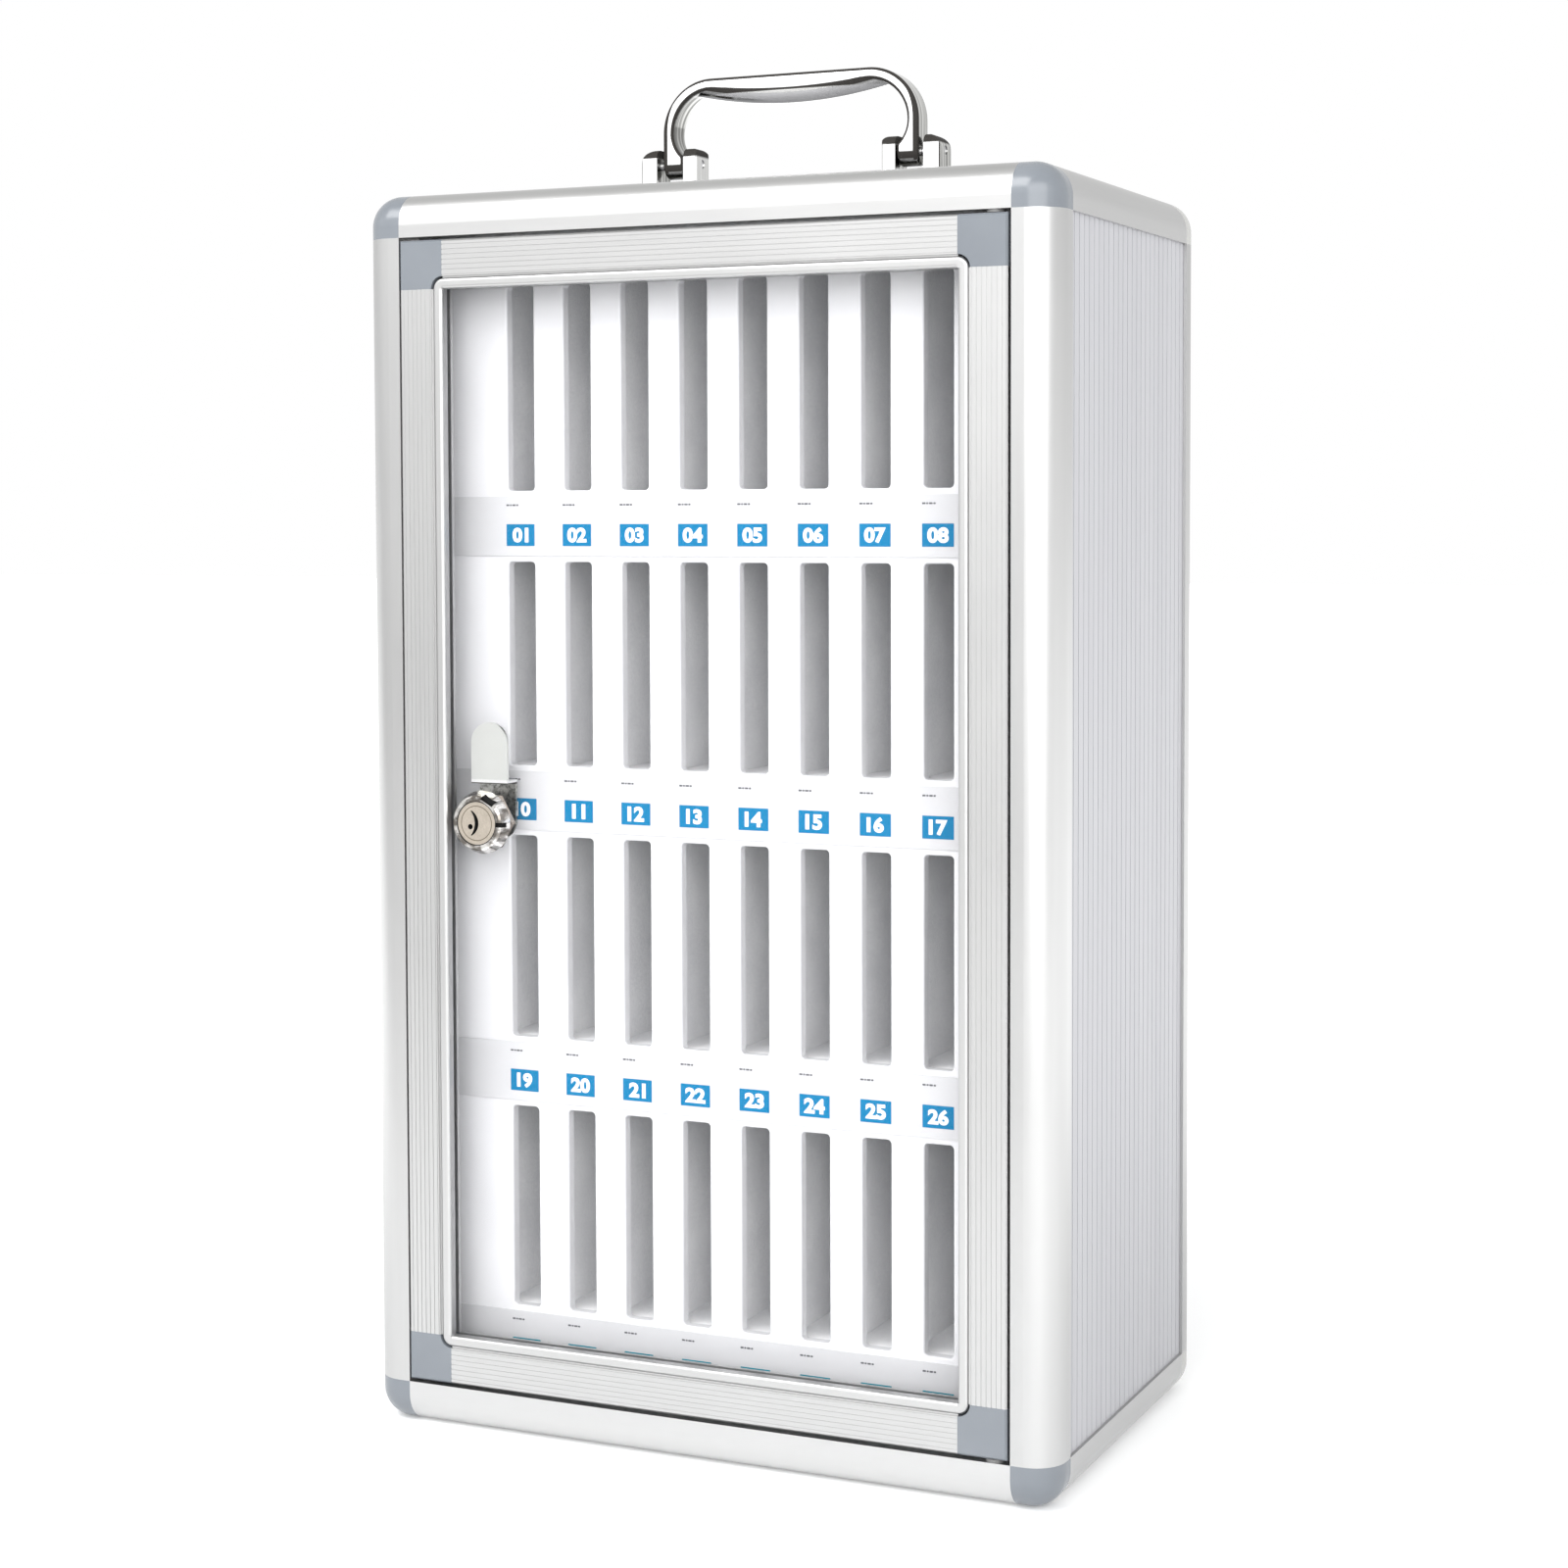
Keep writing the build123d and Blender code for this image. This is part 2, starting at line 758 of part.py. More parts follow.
def lock_plug():
    """Turning face and shaft, with a crescent keyway and the hole for the cam screw."""
    y_dir = (0, 1, 0)
    face_front = front + plug_front
    shaft_end = front + cam_root_front
    plug = rod(plug_face_radius, (lock_x, face_front, lock_height), y_dir, plug_face_thickness)
    plug += rod(
        plug_shaft_radius, (lock_x, face_front, lock_height), y_dir, shaft_end - face_front
    )
    place = Plane(
        origin=(lock_x - keyway_offset, face_front, lock_height), x_dir=(1, 0, 0), z_dir=(0, -1, 0)
    )
    plug -= extrude(place * keyway(), -keyway_depth)
    plug -= rod(
        keyway_dot_radius,
        (lock_x - keyway_dot_offset, face_front, lock_height - keyway_dot_drop),
        y_dir,
        keyway_depth,
    )
    plug -= rod(
        cam_screw_radius, (lock_x, shaft_end - cam_screw_depth, lock_height), y_dir, cam_screw_depth
    )
    return plug


def lock_nut():
    """Hexagon nut that clamps the housing to the window."""
    start = front + window_setback + window_thickness
    place = Plane(origin=(lock_x, start, lock_height), x_dir=(1, 0, 0), z_dir=(0, 1, 0))
    hexagon = RegularPolygon(lock_nut_across_flats / 2, 6, major_radius=False)
    ring = hexagon - Circle(lock_barrel_radius + lock_nut_fit)
    return extrude(place * ring, lock_nut_thickness)


def lock_cam():
    """Cranked cam: root plate on the plug, web, and a rounded tip nearer the door."""
    half = cam_width / 2
    root_front = front + cam_root_front
    tip_front = front + cam_tip_front
    shoulder = lock_height + cam_crank_at
    tip_centre = lock_height + cam_reach - half
    root = rod(half, (lock_x, root_front, lock_height), (0, 1, 0), cam_thickness)
    root += block(
        lock_x - half,
        lock_x + half,
        root_front,
        root_front + cam_thickness,
        lock_height,
        shoulder + cam_thickness,
    )
    web = block(
        lock_x - half,
        lock_x + half,
        tip_front,
        root_front + cam_thickness,
        shoulder,
        shoulder + cam_thickness,
    )
    tip = rod(half, (lock_x, tip_front, tip_centre), (0, 1, 0), cam_thickness)
    tip += block(
        lock_x - half, lock_x + half, tip_front, tip_front + cam_thickness, shoulder, tip_centre
    )
    cam = root + web + tip
    return cam - rod(
        cam_screw_radius + cam_hole_fit, (lock_x, root_front, lock_height), (0, 1, 0), cam_thickness
    )


def cam_screw():
    """Pan-head screw with a cross recess that holds the cam."""
    root_back = front + cam_root_front + cam_thickness
    y_dir = (0, 1, 0)
    screw = rod(
        cam_screw_radius,
        (lock_x, root_back - cam_thickness - cam_screw_depth, lock_height),
        y_dir,
        cam_screw_depth + cam_thickness,
    )
    head = rod(
        cam_screw_head_radius, (lock_x, root_back, lock_height), y_dir, cam_screw_head_height
    )
    head = fillet(head.edges().sort_by(Axis.Y)[-1], cam_screw_head_height / 2)
    recess_start = root_back + cam_screw_head_height / 2
    for turn in (0, 90):
        arm = Box(cam_screw_cross_length, cam_screw_head_height, cam_screw_cross_width)
        middle = recess_start + cam_screw_head_height / 2
        head -= Pos(lock_x, middle, lock_height) * Rot(0, turn, 0) * arm
    return screw + head


def seen_from_front(shape, depth):
    """Extrude a front outline both ways from the handle's middle plane."""
    plane = Plane(origin=(0, handle_setback, 0), x_dir=(1, 0, 0), z_dir=(0, -1, 0))
    return extrude(plane * shape, depth / 2, both=True)


def seen_from_side(shape, start, end):
    """Extrude a side outline, drawn round the handle's middle plane, from one x to another."""
    plane = Plane(origin=(start, handle_setback, 0), x_dir=(0, 1, 0), z_dir=(1, 0, 0))
    return extrude(plane * shape, end - start)


def arch_outline(inset):
    """Everything under the outer line of the handle, drawn in by an inset."""
    half = handle_half_span - inset
    low = handle_pivot_z - handle_depth / 2
    outline = patch(-half, half, low, case_height + handle_top - inset)
    return fillet(outline.vertices().sort_by(Axis.Y)[-2:], handle_corner_radius - inset)


def handle_opening():
    """Inside line of the handle: flared feet, round corners and a long curve at the grip."""
    low = handle_pivot_z - handle_depth / 2
    radius = handle_corner_radius - handle_strap
    straight = handle_half_span - handle_corner_radius
    rise = radius - handle_sag
    sag_radius = (straight**2 + rise**2 - radius**2) / (2 * handle_sag)
    lean = math.asin(straight / (sag_radius + radius))
    meet = (straight - radius * math.sin(lean), handle_shoulder + radius * math.cos(lean))
    middle = math.pi / 4 + lean / 2
    corner = (
        straight + radius * math.cos(middle),
        handle_shoulder + radius * math.sin(middle),
    )
    widening = handle_leg_in - handle_foot_in
    turn = math.acos(1 - widening / handle_flare_radius)
    flare_low = handle_shoulder - handle_flare_radius * math.sin(turn)
    flare = (
        handle_leg_in - handle_flare_radius * (1 - math.cos(turn / 2)),
        handle_shoulder - handle_flare_radius * math.sin(turn / 2),
    )
    right = [
        Line((handle_foot_in, low), (handle_foot_in, flare_low)),
        ThreePointArc((handle_foot_in, flare_low), flare, (handle_leg_in, handle_shoulder)),
        ThreePointArc((handle_leg_in, handle_shoulder), corner, meet),
    ]
    left = [mirror(line, Plane.YZ) for line in right]
    span = ThreePointArc(meet, (0, handle_shoulder + rise), (-meet[0], meet[1]))
    base = Line((handle_foot_in, low), (-handle_foot_in, low))
    opening = make_face(Curve() + right + [span] + left + [base])
    kinks = [point for point in opening.vertices() if abs(point.Y - flare_low) < same_place]
    return fillet(kinks, handle_flare_blend)


def handle_grip():
    """Round underside of the grip, on a long curve, trimmed inside the strap."""
    start_z = case_height + handle_top - handle_strap - handle_sag
    side = handle_depth / 2 - grip_side_step
    round_radius = (side**2 + grip_drop**2) / (2 * grip_drop)
    section = Pos(0, round_radius - grip_drop) * Circle(round_radius)
    section &= patch(-side, side, -grip_drop, 0)
    section += patch(-side, side, 0, grip_collar)
    plane = Plane(origin=(0, handle_setback, start_z), x_dir=(0, 1, 0), z_dir=(1, 0, 0))
    centre = (0, handle_setback, start_z + grip_curve_radius)
    turn = math.degrees(math.asin(grip_half_length / grip_curve_radius))
    axis = Axis(centre, (0, 1, 0))
    start = (plane * section).rotate(axis, turn)
    grip = revolve(start, axis, -2 * turn)
    return grip & seen_from_front(arch_outline(handle_edge_round), handle_depth)


def handle_bail():
    """Arched strap with a fuller grip and a flared foot on each pivot pin."""
    half = handle_depth / 2
    side = patch(-half, half, handle_pivot_z, case_height + handle_top)
    side += Pos(0, handle_pivot_z) * Circle(half)
    bail = seen_from_front(arch_outline(0) - handle_opening(), handle_depth)
    bail &= seen_from_side(side, -handle_half_span, handle_half_span)
    rims = [
        edge
        for edge in bail.edges()
        if abs(abs(edge.center().Y - handle_setback) - half) < same_place
        and edge.center().Z > handle_pivot_z + same_place
    ]
    bail = fillet(rims, handle_edge_round)
    bail += handle_grip()
    return bail - rod(
        handle_pin_radius + handle_pin_fit,
        (-handle_half_span, handle_setback, handle_pivot_z),
        (1, 0, 0),
        2 * handle_half_span,
    )


def handle_bracket(sx):
    """Cast bracket: two lugs with rounded crowns on a low web, the foot between them."""
    top = case_height + bracket_top
    face = patch(bracket_in, bracket_out, top_panel_surface, top)
    upper = face.vertices().sort_by(Axis.Y)[-2:].sort_by(Axis.X)
    face = fillet(upper[0], bracket_inner_round)
    face = fillet(face.vertices().sort_by(lambda p: p.X + p.Y)[-1], bracket_shoulder_round)
    face -= patch(bracket_slot_in, bracket_slot_out, top_panel_surface + bracket_web, top)
    half = bracket_depth / 2
    side = patch(-half, half, top_panel_surface, top)
    side = fillet(side.vertices().sort_by(Axis.Y)[-2:], bracket_crown_round)
    plan = Rectangle(bracket_out - bracket_in, bracket_depth)
    plan = chamfer(plan.vertices(), bracket_edge_bevel)
    middle = Pos((bracket_in + bracket_out) / 2, handle_setback, top_panel_surface)
    bracket = seen_from_front(face, bracket_depth)
    bracket &= seen_from_side(side, bracket_in, bracket_out)
    bracket &= extrude(middle * plan, top - top_panel_surface)
    bracket -= rod(
        handle_pin_radius,
        (bracket_in, handle_setback, handle_pivot_z),
        (1, 0, 0),
        bracket_out - bracket_in,
    )
    for x in handle_screw_places():
        bracket -= rod(
            handle_screw_radius + handle_screw_hole_fit,
            (abs(x), handle_setback, top_panel_surface),
            (0, 0, 1),
            handle_screw_in_lug + handle_screw_hole_fit,
        )
    return bracket if sx > 0 else mirror(bracket, Plane.YZ)


def handle_pin(sx):
    """Plain pivot pin, pressed in both lugs with its ends just below their faces."""
    start = bracket_in + handle_pin_recess
    length = bracket_out - bracket_in - 2 * handle_pin_recess
    return rod(
        handle_pin_radius, (sx * start, handle_setback, handle_pivot_z), (sx, 0, 0), length
    )


def handle_screw(x):
    """Pan-head screw, up through the top panel into a lug."""
    under = case_height - panel_inner
    length = top_panel_surface + handle_screw_in_lug - under
    screw = rod(handle_screw_radius, (x, handle_setback, under), (0, 0, 1), length)
    head = rod(
        handle_screw_head_radius, (x, handle_setback, under), (0, 0, -1), handle_screw_head_height
    )
    return screw + fillet(head.edges().sort_by(Axis.Z)[0], handle_screw_head_round)


def make_lock():
    """Cam lock, from the head to the screw behind the cam."""
    return {
        "lock_housing": lock_housing(),
        "lock_plug": lock_plug(),
        "lock_nut": lock_nut(),
        "lock_cam": lock_cam(),
        "lock_cam_screw": cam_screw(),
    }


def make_handle():
    """Folding handle with its brackets, pins and screws."""
    return {
        "handle_bail": handle_bail(),
        "handle_bracket_left": handle_bracket(-1),
        "handle_bracket_right": handle_bracket(1),
        "handle_pins": Compound(children=[handle_pin(sx) for sx in (-1, 1)]),
        "handle_screws": Compound(children=[handle_screw(x) for x in handle_screw_places()]),
    }


def make_corners():
    """Eight corner blocks of the case."""
    return {
        f"corner_{z_side}_{y_side}_{x_side}": corner_block(x_side, y_side, z_side)
        for x_side in X_EDGE
        for y_side in Y_EDGE
        for z_side in Z_EDGE
    }


nodes = {}
for make in (
    make_profiles,
    make_corners,
    make_panels,
    make_rack,
    make_door,
    make_lock,
    make_handle,
):
    nodes.update(make())

os.makedirs("parts", exist_ok=True)
for name, shape in nodes.items():
    export_step(shape, f"parts/{name}.step")
print(len(nodes), "nodes")
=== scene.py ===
import math
import bpy
from mathutils import Matrix, Vector


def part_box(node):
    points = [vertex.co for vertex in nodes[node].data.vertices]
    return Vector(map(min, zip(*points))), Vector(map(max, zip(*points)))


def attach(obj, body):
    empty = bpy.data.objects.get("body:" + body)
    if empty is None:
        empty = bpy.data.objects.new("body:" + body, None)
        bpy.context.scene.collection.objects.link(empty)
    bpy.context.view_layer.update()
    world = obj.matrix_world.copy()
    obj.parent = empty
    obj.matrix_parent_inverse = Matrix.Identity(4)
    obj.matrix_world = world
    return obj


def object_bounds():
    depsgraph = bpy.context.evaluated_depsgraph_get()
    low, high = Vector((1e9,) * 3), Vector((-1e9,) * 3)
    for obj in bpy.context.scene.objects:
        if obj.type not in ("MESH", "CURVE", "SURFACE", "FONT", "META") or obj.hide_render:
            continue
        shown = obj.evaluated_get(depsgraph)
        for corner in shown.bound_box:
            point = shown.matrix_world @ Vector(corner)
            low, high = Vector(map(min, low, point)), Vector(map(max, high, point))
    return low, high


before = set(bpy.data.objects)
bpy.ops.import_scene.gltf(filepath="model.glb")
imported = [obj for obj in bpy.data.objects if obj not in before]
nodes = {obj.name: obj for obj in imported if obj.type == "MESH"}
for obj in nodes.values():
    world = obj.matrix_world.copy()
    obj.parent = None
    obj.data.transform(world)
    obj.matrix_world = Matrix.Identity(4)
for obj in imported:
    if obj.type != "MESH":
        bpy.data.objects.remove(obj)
cad_low, cad_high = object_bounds()

mm = 0.001
white = (1.0, 1.0, 1.0)
unlit = (0.0, 0.0, 0.0)

# Camera: the photograph's frame and the place it was taken from
picture_width = 1600
camera_place = Vector((535.2, -1190.2, 408.0)) * mm
camera_turn = math.radians(24.308)
camera_dip = math.radians(2.901)
camera_roll = math.radians(-0.177)
focal_length_in_pixels = 2928.4
optical_centre_row = 673.9
sensor_width = 36.0

# Rack, its labels and their print
column_count = 9
row_count = 4
column_pitch = 28.35 * mm
label_width = 14.2 * mm
label_height = 9.7 * mm
label_below_strip_top = 12.2 * mm
label_corner = 0.25 * mm
print_thickness = 0.05 * mm
digit_height = 6.6 * mm
digit_stretch = 1.12
digit_boldness = 0.045
writing_mark_below_strip_top = 3.4 * mm
writing_mark_height = 0.8 * mm
writing_mark_dashes = (1.5 * mm, 0.9 * mm, 1.6 * mm, 1.0 * mm)
writing_mark_gap = 0.35 * mm

# Panels and dividers
panel_reed_pitch = 1.3 * mm
# Painted light on the dividers: pale up to the first depth from their front edge, fading to their
# grey by the second
divider_painted_light_depth = 3.0 * mm
divider_painted_light_fade_end = 13.0 * mm

# Handle and its brackets
handle_corner_radius = 24.0 * mm
handle_half_depth = 6.5 * mm
handle_rim = 1.6 * mm
strap_underside_drop = 7.6 * mm
grip_half_length = 46.0 * mm
grip_taper = 3.0 * mm
bracket_half_depth = 7.0 * mm
bracket_rim = 0.8 * mm
# Height above which the brackets' tops take a painted dark reflection
bracket_crown = 572.2 * mm

# Painted dark reflection: a line along the handle's outer edges, fine on its top and broad on its
# legs
painted_reflection_colour = (0.03, 0.028, 0.026)
painted_reflection_on_top = 1.05 * mm
painted_reflection_on_legs = 2.40 * mm
painted_reflection_widens_from = 6.0 * mm
painted_reflection_widens_to = 24.0 * mm
painted_reflection_blur = 0.15 * mm

# Lock: face, joint round its plug, ring on the plug and crank of its cam
lock_centre = Vector((-105.5, 0.0, 273.0)) * mm
plug_joint = 0.35 * mm
plug_ring_radius = 7.6 * mm
cam_crank_height = 16.5 * mm

# Blackened marks on the lock's head, each an angle in degrees, a length and a width
lock_mark_ring = 11.5 * mm
lock_marks = ((61.0, 6.6 * mm, 2.2 * mm), (-2.0, 2.0 * mm, 3.4 * mm))
lock_mark_blur = 0.1 * mm

# Room: heights on the unit sphere, and the tones of its ceiling and of the wall in front
room_strength = 1.0
ceiling_start = 0.30
ceiling_full = 0.75
ceiling_colour = (0.80, 0.80, 0.79)
wall_low = -0.02
wall_high = 0.16
wall_turn_to_front = 0.35
front_wall_colour = (0.62, 0.62, 0.62)
upper_wall_colour = (1.85, 1.85, 1.85)

# Floor: its glow by the distance from the object, and its greyer stretch in front
floor_size = 30.0
floor_below_object = 0.2 * mm
floor_glow = 1.0
near_glow = (0.15, 0.15, 0.15)
glow_start = 0.25
glow_full = 1.2
front_floor_start = 0.35
front_floor_full = 0.90
front_floor_colour = (0.60, 0.60, 0.60)

# Soft boxes
light_target = (0.0, 0.0, 0.28)
key_place = (-0.7, -1.3, 1.9)
key_size = (1.4, 1.0)
key_power = 32.0
fill_place = (0.98, -1.85, 1.05)
fill_size = (2.4, 1.9)
fill_power = 44.0


class Value:
    """A socket that varies over a surface; arithmetic on it adds Math nodes."""

    def __init__(self, finish, socket):
        self.finish = finish
        self.socket = socket

    def math(self, operation, *operands):
        return self.finish.node("ShaderNodeMath", {"operation": operation}, operands)

    def __add__(self, other):
        return self.math("ADD", self, other)

    def __radd__(self, other):
        return self.math("ADD", other, self)

    def __sub__(self, other):
        return self.math("SUBTRACT", self, other)

    def __rsub__(self, other):
        return self.math("SUBTRACT", other, self)

    def __mul__(self, other):
        return self.math("MULTIPLY", self, other)

    def __rmul__(self, other):
        return self.math("MULTIPLY", other, self)

    def __neg__(self):
        return self.math("MULTIPLY", self, -1.0)

    def __pow__(self, other):
        return self.math("POWER", self, other)

    def __abs__(self):
        return self.math("ABSOLUTE", self)

    def sine(self):
        return self.math("SINE", self)

    def or_more(self, other):
        """The larger of this value and another."""
        return self.math("MAXIMUM", self, other)

    def smooth_step(self, low, high):
        """0 below low, 1 above high, and smooth between them."""
        settings = {"interpolation_type": "SMOOTHSTEP"}
        return self.finish.node("ShaderNodeMapRange", settings, (self, low, high, 0.0, 1.0))


class Finish:
    """One material, or the world, as a node tree that is written in Python."""

    def __init__(self, owner):
        owner.use_nodes = True
        self.owner = owner
        self.tree = owner.node_tree
        self.tree.nodes.clear()

    def node(self, kind, settings=None, values=(), output=0):
        """Add a node: settings first, then its sockets by order or by name."""
        made = self.tree.nodes.new(kind)
        for name, setting in (settings or {}).items():
            setattr(made, name, setting)
        pairs = values.items() if isinstance(values, dict) else enumerate(values)
        for key, value in pairs:
            if isinstance(value, Value):
                self.tree.links.new(value.socket, made.inputs[key])
            else:
                made.inputs[key].default_value = value
        return Value(self, made.outputs[output]) if made.outputs else None

    def place(self):
        """Where a point is on the whole object, in metres."""
        return self.node("ShaderNodeTexCoord", output="Object")

    def part_of(self, vector, axis):
        """One coordinate of a vector."""
        return self.node("ShaderNodeSeparateXYZ", None, (vector,), "XYZ".index(axis))

    def along(self, axis):
        """One coordinate of a point, in metres."""
        return self.part_of(self.place(), axis)

    def noise(self, scale, detail, roughness, stretch=(1.0, 1.0, 1.0)):
        """Smooth noise from 0 to 1; a small stretch along an axis makes streaks along it."""
        vector = self.node("ShaderNodeMapping", None, {"Vector": self.place(), "Scale": stretch})
        values = {"Vector": vector, "Scale": scale, "Detail": detail, "Roughness": roughness}
        return self.node("ShaderNodeTexNoise", None, values)

    def blend(self, factor, first, second):
        """Colour that goes from the first to the second; its sockets go by their order."""
        settings = {"data_type": "RGBA"}
        sockets = {0: factor, 6: solid(first), 7: solid(second)}
        return self.node("ShaderNodeMix", settings, sockets, 2)

    def bump(self, height, distance, strength):
        """Surface relief, with its height in metres at value 1."""
        values = {"Height": height, "Distance": distance, "Strength": strength}
        return self.node("ShaderNodeBump", None, values)

    def surface(self, base_color, **others):
        """Finish the tree with the surface shader."""
        values = {"Base Color": solid(base_color)}
        for name, value in others.items():
            values[name.replace("_", " ").title().replace("Ior", "IOR")] = value
        shader = self.node("ShaderNodeBsdfPrincipled", None, values)
        self.node("ShaderNodeOutputMaterial", None, {"Surface": shader})
        return self.owner


def solid(colour):
    """A colour with full alpha, or a varying one as it is."""
    return colour if isinstance(colour, Value) else (*colour, 1.0)


def new_finish(name):
    """An empty finish for a material of that name."""
    return Finish(bpy.data.materials.new(name))


def grain_along(axis, fine=0.02):
    """Noise stretch that draws the grain out along one axis."""
    return tuple(fine if name == axis else 1.0 for name in "XYZ")


def extruded_aluminium(name, axis, tone, gloss):
    """Satin anodised profile: draw lines along the extrusion and a cloudy, matt skin."""
    finish = new_finish(name)
    lines = finish.noise(900.0, 3.0, 0.6, grain_along(axis))
    broad = finish.noise(140.0, 2.0, 0.5, grain_along(axis, 0.01))
    cloud = finish.noise(14.0, 3.0, 0.55)
    base = finish.blend(
        broad * 0.6 + cloud * 0.4,
        (tone * 0.95, tone * 0.95, tone * 0.95),
        (tone * 1.06, tone * 1.06, tone * 1.055),
    )
    return finish.surface(
        base_color=base,
        metallic=1.0,
        roughness=gloss + 0.10 * lines + 0.06 * cloud,
        normal=finish.bump(lines, 0.004 * mm, 0.5),
    )


def panel_laminate(name, across):
    """Pale silver laminate with a fine reeding beside the cut ribs."""
    finish = new_finish(name)
    reed = (finish.along(across) * (2 * math.pi / panel_reed_pitch)).sine()
    grain_axis = "X" if across == "Z" else "Z"
    streak = finish.noise(60.0, 2.0, 0.5, grain_along(grain_axis, 0.004))
    cloud = finish.noise(5.0, 3.0, 0.5)
    base = finish.blend(streak * 0.7 + cloud * 0.3, (0.335, 0.335, 0.355), (0.41, 0.41, 0.43))
    return finish.surface(
        base_color=base,
        metallic=0.15,
        roughness=0.46 + 0.08 * cloud,
        normal=finish.bump(reed, 0.02 * mm, 0.15),
    )


def moulded_plastic(name, low, high, gloss):
    """Moulded plastic with a faint grain and flow clouds."""
    finish = new_finish(name)
    grain = finish.noise(1400.0, 2.0, 0.6)
    flow = finish.noise(28.0, 3.0, 0.5)
    return finish.surface(
        base_color=finish.blend(flow, low, high),
        roughness=gloss + 0.08 * flow,
        normal=finish.bump(grain, 0.01 * mm, 0.3),
    )


def divider_sheet(name):
    """Grey sheet with the mottling of recycled board, and painted light that makes it pale along its
    front edge.
    """
    finish = new_finish(name)
    spots = finish.noise(900.0, 4.0, 0.65)
    patches = finish.noise(22.0, 3.0, 0.6)
    mix = (spots * 0.65 + patches * 0.65).smooth_step(0.35, 0.95)
    sheet = finish.blend(mix, (0.76, 0.76, 0.78), (0.99, 0.99, 0.99))
    # Painted light: pale near the front edge, where light falls into the slots
    depth = finish.along("Y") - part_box("dividers_1")[0].y
    past_painted_light = depth.smooth_step(divider_painted_light_depth, divider_painted_light_fade_end)
    return finish.surface(
        base_color=finish.blend(past_painted_light, (0.99, 0.99, 0.99), sheet),
        roughness=0.62,
        normal=finish.bump(spots, 0.03 * mm, 0.4),
    )


def printed_film(name, colour):
    """Printed adhesive film with a slight orange peel."""
    finish = new_finish(name)
    cloud = finish.noise(35.0, 2.0, 0.5)
    peel = finish.noise(600.0, 1.0, 0.5)
    darker = tuple(0.93 * part for part in colour)
    return finish.surface(
        base_color=finish.blend(cloud, darker, colour),
        specular_ior_level=0.06,
        roughness=0.32 + 0.06 * peel,
        normal=finish.bump(peel, 0.006 * mm, 0.3),
    )


def clear_acrylic(name):
    """Polished clear sheet: reflections over a faint tint, so that the rack shows through."""
    finish = new_finish(name)
    smear = finish.noise(9.0, 3.0, 0.6)
    pass_through = finish.node("ShaderNodeBsdfTransparent", None, ((0.985, 0.985, 0.988, 1.0),))
    skin = finish.node(
        "ShaderNodeBsdfPrincipled",
        None,
        {"Base Color": (0.80, 0.84, 0.86, 1.0), "Roughness": 0.03 + 0.05 * smear, "IOR": 1.49},
    )
    edge_on = finish.node("ShaderNodeLayerWeight", None, {"Blend": 0.5}, 1)
    cover = (0.04 + 0.96 * edge_on ** 5.0) ** 1.5 + 0.003 * smear
    mixed = finish.node("ShaderNodeMixShader", None, (cover, pass_through, skin))
    finish.node("ShaderNodeOutputMaterial", None, {"Surface": mixed})
    return finish.owner


def wipe_marks(finish):
    """Fine marks that wiping leaves on polished plating."""
    return finish.noise(1500.0, 2.0, 0.5, (1.0, 0.15, 0.6))


def painted_edge_reflection(finish, out, half_depth, rim):
    """Painted dark reflection along the outer edges of the handle: broad on the legs, fine on the
    top.
    """
    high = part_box("handle_bail")[1]
    across = (abs(finish.along("X")) - (high.x - handle_corner_radius)).or_more(0.0)
    upward = (finish.along("Z") - (high.z - handle_corner_radius)).or_more(0.0)
    inside = handle_corner_radius - (across * across + upward * upward) ** 0.5
    drop = high.z - finish.along("Z")
    on_leg = drop.smooth_step(painted_reflection_widens_from, painted_reflection_widens_to)
    width = on_leg * (painted_reflection_on_legs - painted_reflection_on_top) + painted_reflection_on_top
    near = 1.0 - (inside - width).smooth_step(0.0, painted_reflection_blur)
    return near * out.smooth_step(half_depth - rim, half_depth - 0.85 * rim)


